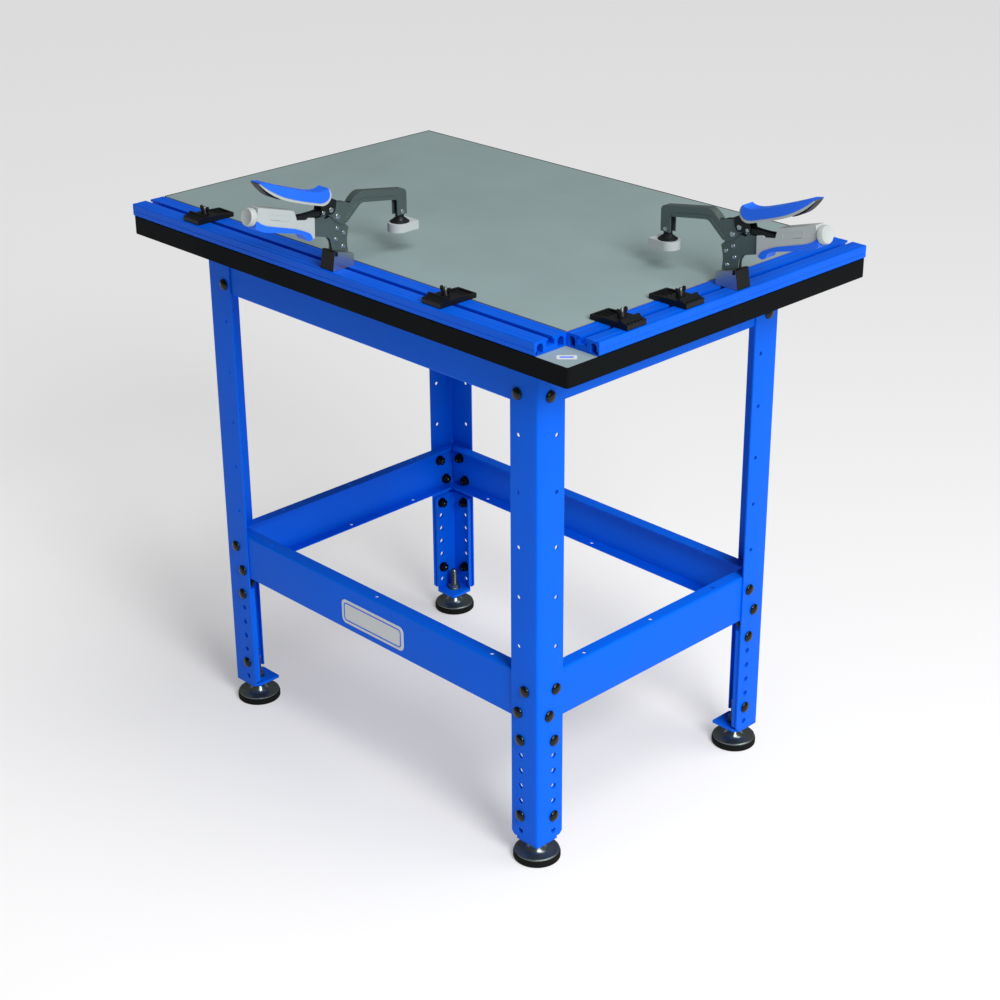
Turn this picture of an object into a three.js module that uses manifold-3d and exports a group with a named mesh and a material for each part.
// A clamp table: a laminated work top framed on two sides by T-slot tracks, carried by a bolted
// sheet-steel stand with height-adjustable legs, and fitted with four track stops and two
// swivelling toggle clamps.
//
// Millimetres, +Z up.  The table is built round the middle of its stand, and the finished group
// is shifted so that its origin is the middle of the whole object's footprint, on the floor.
// "Front" is the long side with the long track (-Y), "right" is the short side with the short
// track (+X).

import * as THREE from 'three';
import { mergeVertices } from 'three/addons/utils/BufferGeometryUtils.js';
import Module from 'manifold-3d';

const wasm = await Module();
wasm.setup();

// ---------------------------------------------------------------- driving dimensions

const GAP = 0.3;                 // clearance kept between touching pieces

const TOP_LENGTH = 914.4;        // 36 inches
const TOP_DEPTH = 609.6;         // 24 inches
const TOP_HEIGHT = 838.2;        // 33 inches from floor to work surface
const UPPER_THICKNESS = 19.05;   // tracks, and the board between them
const LOWER_THICKNESS = 27;
const LAMINATE = 0.9;
const EDGE_BAND = 2.4;
const CORNER_RADIUS = 5;

const TRACK_WIDTH = 57.15;       // 2 1/4 inches
const SLOT_OPENING = 8.6;
const SLOT_LIP = 3.2;
const SLOT_WIDTH = 15;
const SLOT_FLOOR = 10.6;         // depth of the slot's floor below the track's top
const HOLLOW_WIDTH = 11;
const HOLLOW_BOTTOM = 2;
const HOLLOW_TOP = 15.4;
const HOLLOW_INSET = 10;         // hollow's centre from the track's side

const LEG_X = 351.6;             // outer corner of the legs
const LEG_Y = 249.5;
const LEG_FLANGE = 51.5;
const LEG_STEEL = 2.5;
const LEG_BEND = 4;
const LEG_BOTTOM = 38.3;
const HOLE_PITCH = 25.4;
const HOLE_COUNT = 7;
const HOLE_FIRST = 50.7;
const HOLE_INSET = 33.6;
const HOLE_RADIUS = 4.4;

const RAIL_HEIGHT = 76.2;        // 3 inches
const RAIL_DEPTH = 21.5;
const RAIL_STEEL = 2;
const RAIL_BEND = 3.5;
const RAIL_BOTTOM = 234.4;
const MITRE_GAP = 3;

const EXTENSION_TOP = 215.5;
const EXTENSION_STEEL = 2;
const EXTENSION_FLANGE = 47;
const EXTENSION_LIP = 8.5;
const FOOT_PLATE = 5;
const FOOT_INSET = 25.5;         // foot's axis from the leg's outer corner
const FOOT_RADIUS = 35;
const FOOT_RUBBER = 10.5;        // height of the foot's rubber ring
const FOOT_HUB = 22;
const FOOT_SOCKET = 16;
const STUD_RADIUS = 5.9;
const STUD_TOP = 75;
const NUT_FLATS = 19;

const STOP_WIDTH = 36;           // along the track
const STOP_OUTER = 26;           // reach outwards from the slot's axis
const STOP_INNER = 40;           // reach inwards
const STOP_ALONG_FRONT = [-313, 208];
const STOP_ALONG_RIGHT = [-175.5, -62.5];

const CLAMP_ALONG_FRONT = -4.1;
const CLAMP_ALONG_RIGHT = 37.3;

// Half thicknesses of the clamp's layers, from the frame outwards.
const FRAME_HALF = 4;
const ARM_INNER = 4.4;
const ARM_HALF = 6.2;
const LEVER_INNER = 6.6;
const LEVER_HALF = 8.2;
const GRIP_HALF = 9.6;
const LEVER_GRIP_HALF = 10.6;

// Pivots of the clamp, as [inwards from the slot's axis, above the track].
const ARM_PIVOT = [-6.8, 73.2];
const LEVER_PIVOT = [-19.5, 85.5];
const LINK_PIVOT = [-33.4, 84.1];
const LINK_END = [-73.8, 84];
const PAD_PIVOT = [110.5, 55];
const SCREW_HEAD = [-157, 104];  // middle of the force knob's outer face

// ---------------------------------------------------------------- materials

function finish(color, roughness, metalness) {
  return new THREE.MeshStandardMaterial({ color, roughness, metalness });
}

const BLUE_STEEL = finish(0x1763d8, 0.45, 0.2);
const BLUE_ANODISED = finish(0x1a55cf, 0.35, 0.6);
const GREY_LAMINATE = finish(0x8ea0a3, 0.55, 0);
const BOARD = finish(0x8a6b4a, 0.9, 0);
const BLACK_EDGE = finish(0x121416, 0.5, 0);
const BLACK_PLASTIC = finish(0x17181a, 0.6, 0);
const RUBBER = finish(0x1c1c1c, 0.9, 0);
const ZINC = finish(0xc4c8cc, 0.3, 0.9);
const GUNMETAL = finish(0x5d6b69, 0.4, 0.7);
const PALE_GREY = finish(0xcfd3d4, 0.5, 0);
const BLUE_GRIP = finish(0x2a78f0, 0.5, 0);
const PAD_GREY = finish(0xb9bfc0, 0.7, 0);

// ---------------------------------------------------------------- geometry helpers

const WELD = 1e-4;

function positionsOnly(geometry) {
  const plain = geometry.clone();
  for (const name of Object.keys(plain.attributes)) {
    if (name !== 'position') {
      plain.deleteAttribute(name);
    }
  }
  return mergeVertices(plain, WELD);
}

function toSolid(geometry) {
  const merged = positionsOnly(geometry);
  const vertProperties = new Float32Array(merged.attributes.position.array);
  const triVerts = new Uint32Array(merged.index.array);
  return new wasm.Manifold(new wasm.Mesh({ numProp: 3, vertProperties, triVerts }));
}

function toGeometry(solid) {
  const mesh = solid.getMesh();
  const geometry = new THREE.BufferGeometry();
  geometry.setAttribute('position', new THREE.BufferAttribute(mesh.vertProperties, 3));
  geometry.setIndex(new THREE.BufferAttribute(mesh.triVerts, 1));
  geometry.computeVertexNormals();
  return geometry;
}

function join(first, ...others) {
  return toGeometry(others.reduce((sum, next) => sum.add(toSolid(next)), toSolid(first)));
}

function cut(body, ...tools) {
  return toGeometry(tools.reduce((rest, tool) => rest.subtract(toSolid(tool)), toSolid(body)));
}

function polygon(points) {
  return new THREE.Shape(points.map(([x, y]) => new THREE.Vector2(x, y)));
}

// A shape drawn in X and Y, extruded from one height to another.
function extrudeUp(shape, bottom, top, curveSegments = 3) {
  const settings = { depth: top - bottom, bevelEnabled: false, curveSegments };
  return new THREE.ExtrudeGeometry(shape, settings).translate(0, 0, bottom);
}

// A shape drawn in X and Z, extruded along Y between two places.
function extrudeAcross(shape, from, to, curveSegments = 3) {
  const settings = { depth: to - from, bevelEnabled: false, curveSegments };
  const geometry = new THREE.ExtrudeGeometry(shape, settings);
  return geometry.rotateX(Math.PI / 2).translate(0, to, 0);
}

// A shape drawn in Y and Z, extruded along X between two places.
function extrudeAlong(shape, from, to, curveSegments = 4) {
  const settings = { depth: to - from, bevelEnabled: false, curveSegments };
  const turn = new THREE.Matrix4().makeBasis(
    new THREE.Vector3(0, 1, 0),
    new THREE.Vector3(0, 0, 1),
    new THREE.Vector3(1, 0, 0),
  );
  return new THREE.ExtrudeGeometry(shape, settings).applyMatrix4(turn).translate(from, 0, 0);
}

// A shape drawn in X and Z, extruded along Y and centred on Y = 0, with its long edges chamfered.
function chamferedAcross(shape, half, chamfer, curveSegments = 3) {
  const settings = {
    depth: 2 * (half - chamfer),
    bevelEnabled: true,
    bevelThickness: chamfer,
    bevelSize: chamfer,
    bevelOffset: -chamfer,
    bevelSegments: 1,
    curveSegments,
  };
  const geometry = new THREE.ExtrudeGeometry(shape, settings);
  return geometry.rotateX(Math.PI / 2).translate(0, half - chamfer, 0);
}

function box(x0, x1, y0, y1, z0, z1) {
  const geometry = new THREE.BoxGeometry(x1 - x0, y1 - y0, z1 - z0);
  return geometry.translate((x0 + x1) / 2, (y0 + y1) / 2, (z0 + z1) / 2);
}

function rodAlongZ(radius, bottom, top, sides = 16) {
  const geometry = new THREE.CylinderGeometry(radius, radius, top - bottom, sides);
  return geometry.rotateX(Math.PI / 2).translate(0, 0, (top + bottom) / 2);
}

function rodAcross([x, z], radius, half, sides = 12) {
  return new THREE.CylinderGeometry(radius, radius, 2 * half, sides).translate(x, 0, z);
}

// A profile of [radius, height] points, turned about Z.
function turned(profile, sides = 20) {
  const points = profile.map(([radius, height]) => new THREE.Vector2(radius, height));
  return new THREE.LatheGeometry(points, sides).rotateX(Math.PI / 2);
}

const table = new THREE.Group();

function add(parent, name, geometry, material) {
  const mesh = new THREE.Mesh(geometry, material);
  mesh.name = name;
  parent.add(mesh);
  return mesh;
}

// ---------------------------------------------------------------- work top

const upperBottom = TOP_HEIGHT - UPPER_THICKNESS;
const lowerBottom = upperBottom - LOWER_THICKNESS;
const trackBottom = upperBottom + GAP;
const halfLength = TOP_LENGTH / 2;
const halfDepth = TOP_DEPTH / 2;
const slotX = halfLength - TRACK_WIDTH / 2;
const slotY = -halfDepth + TRACK_WIDTH / 2;

function roundedRectangle(halfX, halfY, radius) {
  const shape = new THREE.Shape();
  shape.moveTo(-halfX + radius, -halfY);
  shape.lineTo(halfX - radius, -halfY);
  shape.absarc(halfX - radius, -halfY + radius, radius, -Math.PI / 2, 0);
  shape.absarc(halfX - radius, halfY - radius, radius, 0, Math.PI / 2);
  shape.absarc(-halfX + radius, halfY - radius, radius, Math.PI / 2, Math.PI);
  shape.absarc(-halfX + radius, -halfY + radius, radius, Math.PI, 1.5 * Math.PI);
  return shape;
}

function lowerBoard() {
  const inset = EDGE_BAND + GAP;
  const shape = roundedRectangle(halfLength - inset, halfDepth - inset, CORNER_RADIUS - inset);
  return extrudeUp(shape, lowerBottom, upperBottom - LAMINATE - GAP, 4);
}

function lowerLaminate() {
  const inset = EDGE_BAND + GAP;
  const shape = roundedRectangle(halfLength - inset, halfDepth - inset, CORNER_RADIUS - inset);
  return extrudeUp(shape, upperBottom - LAMINATE, upperBottom, 4);
}

function edgeBand() {
  const shape = roundedRectangle(halfLength, halfDepth, CORNER_RADIUS);
  const innerRadius = CORNER_RADIUS - EDGE_BAND;
  shape.holes.push(roundedRectangle(halfLength - EDGE_BAND, halfDepth - EDGE_BAND, innerRadius));
  return extrudeUp(shape, lowerBottom, upperBottom, 4);
}

const boardGap = 2.2;            // dark joint between a track and the board
const boardRight = halfLength - TRACK_WIDTH - boardGap;
const boardFront = -halfDepth + TRACK_WIDTH + boardGap;

function upperBoard() {
  const left = -halfLength + EDGE_BAND + GAP;
  const back = halfDepth - EDGE_BAND - GAP;
  return box(left, boardRight, boardFront, back, trackBottom, TOP_HEIGHT - LAMINATE - GAP);
}

function topLaminate() {
  const left = -halfLength + EDGE_BAND + GAP;
  const back = halfDepth - EDGE_BAND - GAP;
  return box(left, boardRight, boardFront, back, TOP_HEIGHT - LAMINATE, TOP_HEIGHT);
}

// An L-shaped strip on the board's two free sides, at the left and the back.
function upperEdgeBand() {
  const shape = polygon([
    [-halfLength, boardFront],
    [-halfLength + EDGE_BAND, boardFront],
    [-halfLength + EDGE_BAND, halfDepth - EDGE_BAND],
    [boardRight, halfDepth - EDGE_BAND],
    [boardRight, halfDepth],
    [-halfLength, halfDepth],
  ]);
  return extrudeUp(shape, trackBottom, TOP_HEIGHT);
}

// The track's section: X across from the outer side, Y up from its underside.
function trackSection() {
  const height = TOP_HEIGHT - trackBottom;
  const middle = TRACK_WIDTH / 2;
  const undercut = 1.5;
  const shape = polygon([
    [undercut, 0],
    [TRACK_WIDTH, 0],
    [TRACK_WIDTH, height],
    [middle + SLOT_OPENING / 2, height],
    [middle + SLOT_OPENING / 2, height - SLOT_LIP],
    [middle + SLOT_WIDTH / 2, height - SLOT_LIP],
    [middle + SLOT_WIDTH / 2, height - SLOT_FLOOR],
    [middle - SLOT_WIDTH / 2, height - SLOT_FLOOR],
    [middle - SLOT_WIDTH / 2, height - SLOT_LIP],
    [middle - SLOT_OPENING / 2, height - SLOT_LIP],
    [middle - SLOT_OPENING / 2, height],
    [0, height],
    [0, undercut],
  ]);
  return shape;
}

// The outline of one of the two arched hollows that run the length of a track.
function hollowSection(centre) {
  const shape = new THREE.Shape();
  const radius = HOLLOW_WIDTH / 2;
  shape.moveTo(centre - radius, HOLLOW_BOTTOM);
  shape.lineTo(centre + radius, HOLLOW_BOTTOM);
  shape.absarc(centre, HOLLOW_TOP - radius, radius, 0, Math.PI);
  return shape;
}

// A track lying along X, its outer side facing -Y, from X = 0.
function track(length) {
  const hollow = (centre) => extrudeAlong(hollowSection(centre), -1, length + 1);
  return cut(
    extrudeAlong(trackSection(), 0, length),
    hollow(HOLLOW_INSET),
    hollow(TRACK_WIDTH - HOLLOW_INSET),
  );
}

function buildTop() {
  add(table, 'lower_board', lowerBoard(), BOARD);
  add(table, 'lower_laminate', lowerLaminate(), GREY_LAMINATE);
  add(table, 'lower_edge_band', edgeBand(), BLACK_EDGE);
  add(table, 'upper_board', upperBoard(), BOARD);
  add(table, 'upper_edge_band', upperEdgeBand(), BLACK_EDGE);
  add(table, 'top_laminate', topLaminate(), GREY_LAMINATE);
  const front = add(table, 'front_track', track(TOP_LENGTH - TRACK_WIDTH), BLUE_ANODISED);
  front.position.set(-halfLength, -halfDepth, trackBottom);
  const right = add(table, 'right_track', track(TOP_DEPTH - TRACK_WIDTH), BLUE_ANODISED);
  right.rotation.z = Math.PI / 2;
  right.position.set(halfLength, -halfDepth + TRACK_WIDTH, trackBottom);
}

// ---------------------------------------------------------------- stand

// Corners run anticlockwise seen from above, starting at the front right one, so each corner's
// pieces are the first corner's, turned by a quarter.
const CORNERS = [
  { name: 'front_right', x: LEG_X, y: -LEG_Y },
  { name: 'back_right', x: LEG_X, y: LEG_Y },
  { name: 'back_left', x: -LEG_X, y: LEG_Y },
  { name: 'front_left', x: -LEG_X, y: -LEG_Y },
];
const SIDES = ['front', 'right', 'back', 'left'];

// An angle section with its outer corner at the origin and flanges along -X and +Y.
function legSection() {
  const shape = new THREE.Shape();
  const inner = LEG_BEND - LEG_STEEL;
  shape.moveTo(-LEG_FLANGE, 0);
  shape.lineTo(-LEG_BEND, 0);
  shape.absarc(-LEG_BEND, LEG_BEND, LEG_BEND, -Math.PI / 2, 0);
  shape.lineTo(0, LEG_FLANGE);
  shape.lineTo(-LEG_STEEL, LEG_FLANGE);
  shape.absarc(-LEG_BEND, LEG_BEND, inner, 0, -Math.PI / 2, true);
  shape.lineTo(-LEG_FLANGE, LEG_STEEL);
  return shape;
}

// Tools for the two columns of height-adjusting holes, one in each flange.
function adjustingHoles() {
  const tools = [];
  for (let i = 0; i < HOLE_COUNT; i += 1) {
    const height = HOLE_FIRST + HOLE_PITCH * i;
    const along = new THREE.CylinderGeometry(HOLE_RADIUS, HOLE_RADIUS, 14, 8);
    tools.push(along.clone().translate(-HOLE_INSET, 0, height));
    tools.push(along.clone().rotateZ(Math.PI / 2).translate(0, HOLE_INSET, height));
  }
  return tools;
}

function leg() {
  const plain = extrudeUp(legSection(), LEG_BOTTOM, lowerBottom - GAP, 2);
  return cut(plain, ...adjustingHoles());
}

// The extension nests inside the leg: an angle whose free edges turn inwards in a lip.
function extensionSection() {
  const outer = LEG_STEEL + 0.4;
  const far = outer + EXTENSION_FLANGE;
  const steel = EXTENSION_STEEL;
  const bend = 4;
  const shape = new THREE.Shape();
  shape.moveTo(-far, outer);
  shape.lineTo(-outer - bend, outer);
  shape.absarc(-outer - bend, outer + bend, bend, -Math.PI / 2, 0);
  shape.lineTo(-outer, far);
  shape.lineTo(-outer - EXTENSION_LIP, far);
  shape.lineTo(-outer - EXTENSION_LIP, far - steel);
  shape.lineTo(-outer - steel, far - steel);
  shape.lineTo(-outer - steel, outer + bend);
  shape.absarc(-outer - bend, outer + bend, bend - steel, 0, -Math.PI / 2, true);
  shape.lineTo(-far + steel, outer + steel);
  shape.lineTo(-far + steel, outer + EXTENSION_LIP);
  shape.lineTo(-far, outer + EXTENSION_LIP);
  return shape;
}

function legExtension() {
  const plateTop = LEG_BOTTOM - GAP;
  const clip = 8;
  const edge = 1;
  const far = 50;
  const plate = extrudeUp(polygon([
    [-edge, edge],
    [-edge, far - clip],
    [-edge - clip, far],
    [-far, far],
    [-far, edge + clip],
    [-far + clip, edge],
  ]), plateTop - FOOT_PLATE, plateTop);
  const angle = cut(extrudeUp(extensionSection(), plateTop - 1, EXTENSION_TOP, 2), ...adjustingHoles());
  const hole = rodAlongZ(STUD_RADIUS + 0.5, 0, 60, 12).translate(-FOOT_INSET, FOOT_INSET, 0);
  return cut(join(angle, plate), hole);
}

// Rubber ring, swaged steel disc and hub, on the foot's own axis.
function footDisc() {
  return turned([
    [0, 0],
    [FOOT_RADIUS - 1, 0],
    [FOOT_RADIUS, 1.5],
    [FOOT_RADIUS, FOOT_RUBBER - 1.5],
    [FOOT_RADIUS - 1.5, FOOT_RUBBER],
    [FOOT_RADIUS - 1.5, FOOT_RUBBER + 2.4],
    [FOOT_RADIUS - 5, FOOT_RUBBER + 3.4],
    [16, FOOT_RUBBER + 5],
    [11, FOOT_HUB],
    [STUD_RADIUS + 0.4, FOOT_HUB],
    [STUD_RADIUS + 0.4, FOOT_SOCKET],
    [0, FOOT_SOCKET],
  ]);
}

// A threaded stud with a hexagon to turn it by, swivelling in the foot's hub.
function footStud() {
  const plateBottom = LEG_BOTTOM - GAP - FOOT_PLATE;
  const hexagon = rodAlongZ(NUT_FLATS / Math.sqrt(3), FOOT_HUB + GAP, plateBottom - GAP, 6);
  return join(rodAlongZ(STUD_RADIUS, FOOT_SOCKET + GAP, STUD_TOP, 12), hexagon);
}

// A channel section: X inwards from the web's outer face, Y up.
function channelSection() {
  const inner = RAIL_BEND - RAIL_STEEL;
  const shape = new THREE.Shape();
  shape.moveTo(RAIL_DEPTH, 0);
  shape.lineTo(RAIL_DEPTH, RAIL_STEEL);
  shape.lineTo(RAIL_BEND, RAIL_STEEL);
  shape.absarc(RAIL_BEND, RAIL_BEND, inner, 1.5 * Math.PI, Math.PI, true);
  shape.lineTo(RAIL_STEEL, RAIL_HEIGHT - RAIL_BEND);
  shape.absarc(RAIL_BEND, RAIL_HEIGHT - RAIL_BEND, inner, Math.PI, Math.PI / 2, true);
  shape.lineTo(RAIL_DEPTH, RAIL_HEIGHT - RAIL_STEEL);
  shape.lineTo(RAIL_DEPTH, RAIL_HEIGHT);
  shape.lineTo(RAIL_BEND, RAIL_HEIGHT);
  shape.absarc(RAIL_BEND, RAIL_HEIGHT - RAIL_BEND, RAIL_BEND, Math.PI / 2, Math.PI);
  shape.lineTo(0, RAIL_BEND);
  shape.absarc(RAIL_BEND, RAIL_BEND, RAIL_BEND, Math.PI, 1.5 * Math.PI);
  return shape;
}

// A channel along X, centred, web facing -Y at Y = 0, both ends mitred at 45 degrees.
function rail(length) {
  const geometry = extrudeAlong(channelSection(), -length / 2, length / 2, 2);
  const position = geometry.attributes.position;
  for (let i = 0; i < position.count; i += 1) {
    const end = Math.sign(position.getX(i));
    position.setX(i, end * (length / 2 - MITRE_GAP - position.getY(i)));
  }
  return geometry;
}

function buildRails(prefix, bottom) {
  const webX = LEG_X - LEG_STEEL - GAP;
  const webY = LEG_Y - LEG_STEEL - GAP;
  SIDES.forEach((side, index) => {
    const alongX = index % 2 === 0;
    const reach = alongX ? webY : webX;
    const length = alongX ? 2 * webX : 2 * webY;
    const turner = new THREE.Group();
    turner.rotation.z = index * Math.PI / 2;
    table.add(turner);
    const mesh = add(turner, `${prefix}_${side}`, rail(length), BLUE_STEEL);
    mesh.position.set(0, -reach, bottom);
  });
}

function buildStand() {
  CORNERS.forEach((corner, index) => {
    const group = new THREE.Group();
    group.position.set(corner.x, corner.y, 0);
    group.rotation.z = index * Math.PI / 2;
    table.add(group);
    add(group, `leg_${corner.name}`, leg(), BLUE_STEEL);
    add(group, `leg_extension_${corner.name}`, legExtension(), BLUE_STEEL);
    const disc = add(group, `foot_disc_${corner.name}`, footDisc(), RUBBER);
    disc.position.set(-FOOT_INSET, FOOT_INSET, 0);
    const stud = add(group, `foot_stud_${corner.name}`, footStud(), ZINC);
    stud.position.set(-FOOT_INSET, FOOT_INSET, 0);
  });
  buildRails('lower_rail', RAIL_BOTTOM);
  buildRails('apron', lowerBottom - GAP - RAIL_HEIGHT);
}

// ---------------------------------------------------------------- track fittings

// Track fittings are built with X pointing inwards over the table, Y along the track and Z up
// from the track's top, round the slot's axis.
function trackGroup(onFront, along) {
  const group = new THREE.Group();
  if (onFront) {
    group.position.set(along, slotY, TOP_HEIGHT);
    group.rotation.z = Math.PI / 2;
  } else {
    group.position.set(slotX, along, TOP_HEIGHT);
    group.rotation.z = Math.PI;
  }
  table.add(group);
  return group;
}

function stopBlock() {
  const half = STOP_WIDTH / 2;
  const side = polygon([
    [-STOP_OUTER, GAP],
    [STOP_INNER, GAP],
    [STOP_INNER, 6.4],
    [10, 8.2],
    [-10.6, 8.2],
    [-11.4, 12.6],
    [-15, 12.6],
    [-17, 9.6],
    [-19, 9.6],
    [-20, 8.4],
    [-STOP_OUTER, 7.6],
  ]);
  const recess = box(13, STOP_INNER - 4, -half + 4, half - 4, 5, 20);
  const bore = rodAlongZ(3.4, -5, 20, 12);
  return cut(chamferedAcross(side, half, 1, 1), recess, bore);
}

// Hub and two upright wings.
function wingNut() {
  const hub = turned([[0, 8.5], [6.2, 8.5], [6.2, 10.5], [4.6, 16], [0, 16]], 12);
  const wing = polygon([
    [1, 11],
    [5, 11.5],
    [9.2, 16],
    [9.2, 19.6],
    [7.4, 21],
    [5, 20],
    [2, 14.5],
  ]);
  const right = extrudeAcross(wing, -1.6, 1.6);
  const left = right.clone().rotateZ(Math.PI);
  const hole = rodAlongZ(2.6, 5, 14.5, 10);
  const wings = join(hub, right, left);
  return cut(wings, hole).rotateZ(Math.PI / 2);
}

function buildStops() {
  const places = [
    ...STOP_ALONG_FRONT.map((along) => [true, along]),
    ...STOP_ALONG_RIGHT.map((along) => [false, along]),
  ];
  places.forEach(([onFront, along], index) => {
    const group = trackGroup(onFront, along);
    add(group, `stop_block_${index + 1}`, stopBlock(), BLACK_PLASTIC);
    add(group, `wing_nut_${index + 1}`, wingNut(), BLACK_PLASTIC);
  });
}

// ---------------------------------------------------------------- clamps

function tBolt() {
  const head = box(-6.5, 6.5, -6.5, 6.5, -SLOT_FLOOR + 1, -SLOT_LIP - 0.8);
  const shank = rodAlongZ(3.8, -SLOT_FLOOR + 2, 13, 12);
  return join(head, shank);
}

function clampBase() {
  const side = polygon([
    [-25.5, GAP],
    [13.5, GAP],
    [13.2, 18.6],
    [-20, 27.5],
  ]);
  const bore = rodAlongZ(4.3, -5, 14, 12);
  return cut(chamferedAcross(side, 13, 0.8, 1), bore);
}

// The fixed frame: a riveted stack of plates from the base up to the arm's pivot and back to
// the lower grip, which it enters with a tang.
function clampFrame() {
  const shape = new THREE.Shape();
  shape.moveTo(-17, 27.2);
  shape.lineTo(11.4, 19.6);
  shape.quadraticCurveTo(7.5, 36, 12.7, 51);
  shape.lineTo(13.5, 54);
  shape.lineTo(6, 60.5);
  shape.lineTo(2, 78);
  shape.quadraticCurveTo(-6, 84, -15, 79.5);
  shape.lineTo(-26, 78.6);
  shape.lineTo(-47, 77.6);
  shape.lineTo(-70, 75);
  shape.lineTo(-70, 68);
  shape.lineTo(-47, 62);
  shape.lineTo(-46.5, 53.4);
  shape.lineTo(-27, 48);
  shape.quadraticCurveTo(-15.5, 44, -17, 27.2);
  const seat = polygon([
    [-20, 27.5 + GAP],
    [13.2, 18.6 + GAP],
    [20, 10],
    [-30, 10],
  ]);
  // Room for the lever's pin as it swings down with the arm.
  const notch = polygon([
    [-28.5, 73.4],
    [-17, 75.5],
    [-13.5, 90],
    [-28.5, 90],
  ]);
  return cut(
    extrudeAcross(shape, -FRAME_HALF, FRAME_HALF, 4),
    extrudeAcross(seat, -9, 9),
    extrudeAcross(notch, -9, 9),
    rodAcross(ARM_PIVOT, 4.4, 10),
  );
}

// The adjusting screw runs from the knob down to the toggle link's end pin.
const screwRun = [LINK_END[0] - SCREW_HEAD[0], SCREW_HEAD[1] - LINK_END[1]];
const screwLength = Math.hypot(...screwRun);

function screwPlacement() {
  const tilt = Math.atan2(screwRun[1], screwRun[0]);
  const turn = new THREE.Matrix4().makeRotationY(tilt + Math.PI / 2);
  return turn.setPosition(SCREW_HEAD[0], 0, SCREW_HEAD[1]);
}

// The lower grip: a moulded handle with a slot for the toggle link, a pocket for the frame's
// tang and a bore for the adjusting screw.
function lowerGrip() {
  const shape = new THREE.Shape();
  shape.moveTo(-49.4, 81);
  shape.lineTo(-59.5, 83);
  shape.lineTo(-63, 80.8);
  shape.lineTo(-80, 84);
  shape.lineTo(-81.8, 97.6);
  shape.lineTo(-117, 107.6);
  shape.lineTo(-143.2, 115);
  shape.lineTo(-149.8, 88);
  shape.quadraticCurveTo(-140, 81, -126, 78);
  shape.lineTo(-80, 66.4);
  shape.quadraticCurveTo(-70, 64, -67, 57);
  shape.lineTo(-60, 51.6);
  shape.lineTo(-50.4, 52.6);
  const slot = polygon([
    [-84, 76.5],
    [-46, 76.5],
    [-46, 100],
    [-84, 100],
  ]);
  const pocket = polygon([
    [-46, 78.2],
    [-70.6, 75.6],
    [-70.6, 67.4],
    [-46, 60.8],
  ]);
  const bore = rodAlongZ(4.2, -4, 90, 10).applyMatrix4(screwPlacement());
  return cut(
    chamferedAcross(shape, GRIP_HALF, 2.4, 3),
    extrudeAcross(slot, -ARM_HALF - 0.7, ARM_HALF + 0.7),
    extrudeAcross(pocket, -FRAME_HALF - 0.4, FRAME_HALF + 0.4),
    bore,
  );
}

// Knurled knob and the screw behind it, turned about the screw's axis.
function forceKnob() {
  const profile = [
    [0, 0],
    [11, 0],
    [12.4, 1.4],
    [12.4, 9.4],
    [8, 10.4],
    [3.6, 10.4],
    [3.6, screwLength - 4],
    [0, screwLength - 3],
  ];
  return turned(profile, 16).applyMatrix4(screwPlacement());
}

// A channel-shaped arm: two cheeks round the frame, a closed back, and a tip turned down.
function clampArm() {
  const shape = new THREE.Shape();
  shape.moveTo(5.6, 60.4);
  shape.lineTo(30, 81);
  shape.quadraticCurveTo(34, 84.6, 40, 84);
  shape.lineTo(101.4, 74.6);
  shape.lineTo(102, 50.8);
  shape.lineTo(119, 50.8);
  shape.lineTo(119, 82);
  shape.quadraticCurveTo(118.4, 87, 113, 87.6);
  shape.lineTo(36, 99.8);
  shape.quadraticCurveTo(26, 99, 16.4, 87);
  shape.lineTo(9, 90);
  shape.lineTo(-8, 93.4);
  shape.lineTo(-19.5, 93.6);
  shape.quadraticCurveTo(-26.5, 92, -26, 85);
  shape.quadraticCurveTo(-25.5, 78, -19, 76);
  shape.lineTo(-10, 66.4);
  shape.lineTo(0, 60.6);
  const web = 1.9;
  const hollow = new THREE.Shape();
  hollow.moveTo(-40, 50);
  hollow.lineTo(98, 50);
  hollow.lineTo(99, 40);
  hollow.lineTo(119 - web, 40);
  hollow.lineTo(119 - web, 84.8 - web);
  hollow.lineTo(36, 99.8 - web - 1);
  hollow.quadraticCurveTo(27, 97, 18.4, 86);
  hollow.lineTo(14, 100);
  hollow.lineTo(-40, 100);
  const body = cut(
    extrudeAcross(shape, -ARM_HALF, ARM_HALF, 3),
    extrudeAcross(hollow, -ARM_INNER, ARM_INNER, 3),
  );
  return join(
    body,
    rodAcross(ARM_PIVOT, 4, ARM_HALF - 0.2),
    rodAcross(LEVER_PIVOT, 3, LEVER_HALF + 0.4, 10),
    rodAcross(PAD_PIVOT, 2.2, ARM_HALF - 0.2, 8),
  );
}

// The upper lever: two cheeks outside the arm, bridged inside the grip, with a tang behind.
function upperLever() {
  const cheek = new THREE.Shape();
  cheek.moveTo(-37.6, 84);
  cheek.quadraticCurveTo(-37, 79.8, -32, 79.8);
  cheek.lineTo(-18, 79);
  cheek.quadraticCurveTo(-12, 81, -11, 88);
  cheek.lineTo(-9.4, 97.2);
  cheek.lineTo(-18.4, 101.8);
  cheek.lineTo(-34, 107);
  cheek.lineTo(-34, 96);
  const bridge = polygon([
    [-38, 97],
    [-33, 96],
    [-33, 106.6],
    [-38, 108],
  ]);
  const tang = polygon([
    [-95, 115.6],
    [-37, 98.4],
    [-37, 106],
    [-95, 122.6],
  ]);
  const body = join(
    extrudeAcross(bridge, -LEVER_HALF, LEVER_HALF),
    extrudeAcross(tang, -4.6, 4.6),
    extrudeAcross(cheek, LEVER_INNER, LEVER_HALF, 3),
    extrudeAcross(cheek, -LEVER_HALF, -LEVER_INNER, 3),
  );
  return cut(body, rodAcross(LEVER_PIVOT, 3.4, 12, 10));
}

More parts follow.
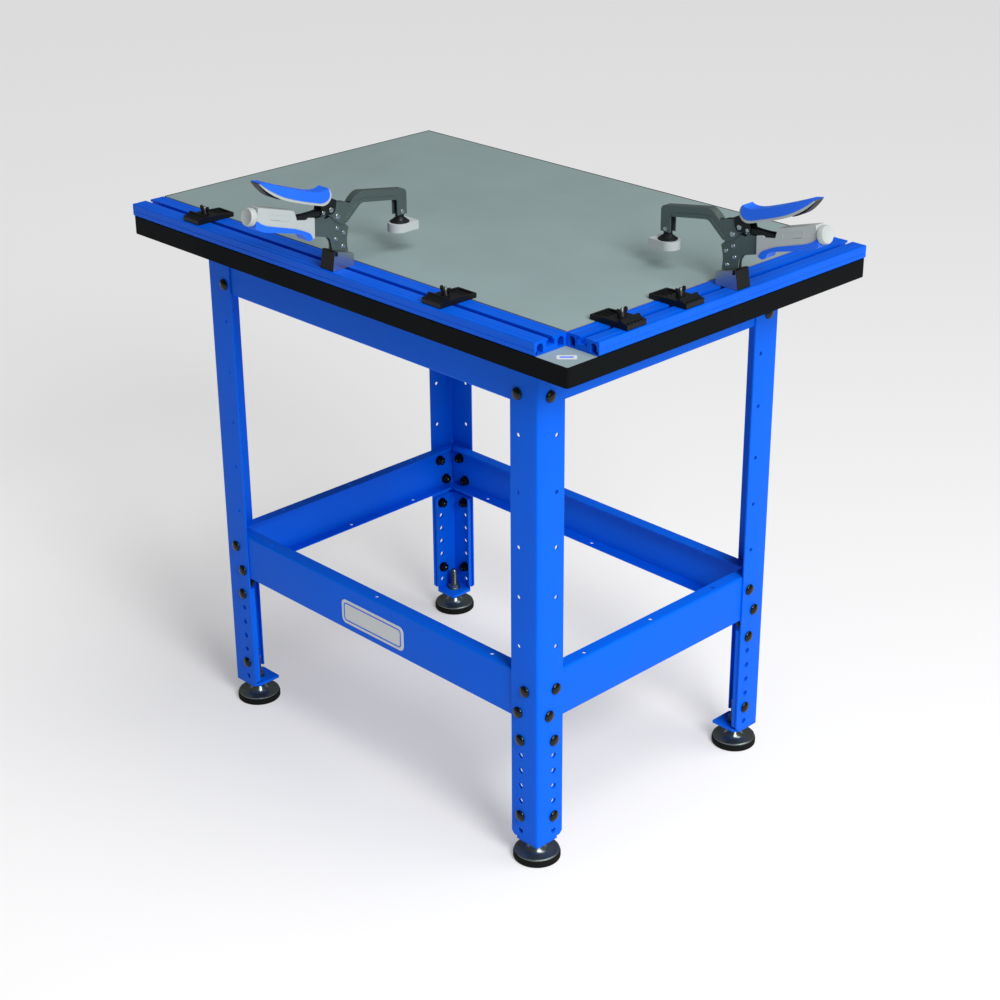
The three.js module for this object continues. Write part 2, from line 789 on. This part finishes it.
function leverGrip() {
  const shape = new THREE.Shape();
  shape.moveTo(-142, 149.4);
  shape.quadraticCurveTo(-130, 133, -108, 121);
  shape.quadraticCurveTo(-90, 110.6, -35.5, 94.2);
  shape.quadraticCurveTo(-22, 92.6, -18.2, 105.6);
  shape.quadraticCurveTo(-19.6, 116, -25, 118);
  shape.quadraticCurveTo(-34, 112, -54, 118.4);
  shape.quadraticCurveTo(-90, 130, -128, 146);
  const fork = polygon([
    [-10, 88],
    [-10, 103],
    [-18, 107],
    [-38.4, 109.2],
    [-38.4, 96],
    [-38.4, 88],
  ]);
  const tang = polygon([
    [-95.6, 115],
    [-37, 97.6],
    [-37, 106.8],
    [-95.6, 123.4],
  ]);
  return cut(
    chamferedAcross(shape, LEVER_GRIP_HALF, 2, 4),
    extrudeAcross(fork, -LEVER_HALF - 0.4, LEVER_HALF + 0.4),
    extrudeAcross(tang, -5, 5),
  );
}

// Two bars joined by a pin at the grip's end; the other end lies between the lever's cheeks.
function toggleLink() {
  const bar = new THREE.Shape();
  const [pinX, pinZ] = LINK_PIVOT;
  const [endX, endZ] = LINK_END;
  const radius = 3.6;
  bar.absarc(pinX, pinZ, radius, -Math.PI / 2, Math.PI / 2);
  bar.absarc(endX, endZ, radius, Math.PI / 2, 1.5 * Math.PI);
  const bars = [
    extrudeAcross(bar, ARM_INNER, ARM_HALF, 3),
    extrudeAcross(bar, -ARM_HALF, -ARM_INNER, 3),
  ];
  const hole = rodAcross(LINK_PIVOT, 2, 10, 8);
  const pin = rodAcross(LINK_END, 2.5, ARM_HALF - 0.2, 8);
  return cut(join(pin, ...bars), hole);
}

// Tilting pad: a slab rounded towards the base, a conical collar and a tongue for the pin.
function pad() {
  const radius = 15;
  const outline = new THREE.Shape();
  outline.moveTo(133, -radius);
  outline.lineTo(133, radius);
  outline.lineTo(107, radius);
  outline.absarc(107, 0, radius, Math.PI / 2, 1.5 * Math.PI);
  const collar = turned([[0, 38], [7, 38], [8, 42], [14, 42.4], [14, 43.6], [8, 47.6], [0, 47.6]], 14);
  const tongue = rodAcross(PAD_PIVOT, 5, 4, 10);
  const neck = box(PAD_PIVOT[0] - 5, PAD_PIVOT[0] + 5, -4, 4, 46, PAD_PIVOT[1]);
  const slab = extrudeUp(outline, 27, 39, 5);
  const solid = join(slab, collar.translate(PAD_PIVOT[0], 0, 0), neck, tongue);
  return cut(solid, rodAcross(PAD_PIVOT, 2.6, 10, 8));
}

function buildClamp(number, onFront, along) {
  const group = trackGroup(onFront, along);
  const piece = (name, geometry, material) => add(group, `clamp_${number}_${name}`, geometry, material);
  piece('t_bolt', tBolt(), ZINC);
  piece('base', clampBase(), ZINC);
  piece('frame', clampFrame(), GUNMETAL);
  piece('lower_grip', lowerGrip(), PALE_GREY);
  piece('force_knob', forceKnob(), PALE_GREY);
  piece('arm', clampArm(), GUNMETAL);
  piece('lever', upperLever(), GUNMETAL);
  piece('lever_grip', leverGrip(), BLUE_GRIP);
  piece('toggle_link', toggleLink(), GUNMETAL);
  piece('pad', pad(), PAD_GREY);
}

// ---------------------------------------------------------------- assembly

buildTop();
buildStand();
buildStops();
buildClamp(1, true, CLAMP_ALONG_FRONT);
buildClamp(2, false, CLAMP_ALONG_RIGHT);

table.updateMatrixWorld(true);
const extent = new THREE.Box3().setFromObject(table, true);
table.position.set(-(extent.min.x + extent.max.x) / 2, -(extent.min.y + extent.max.y) / 2, 0);

export default table;
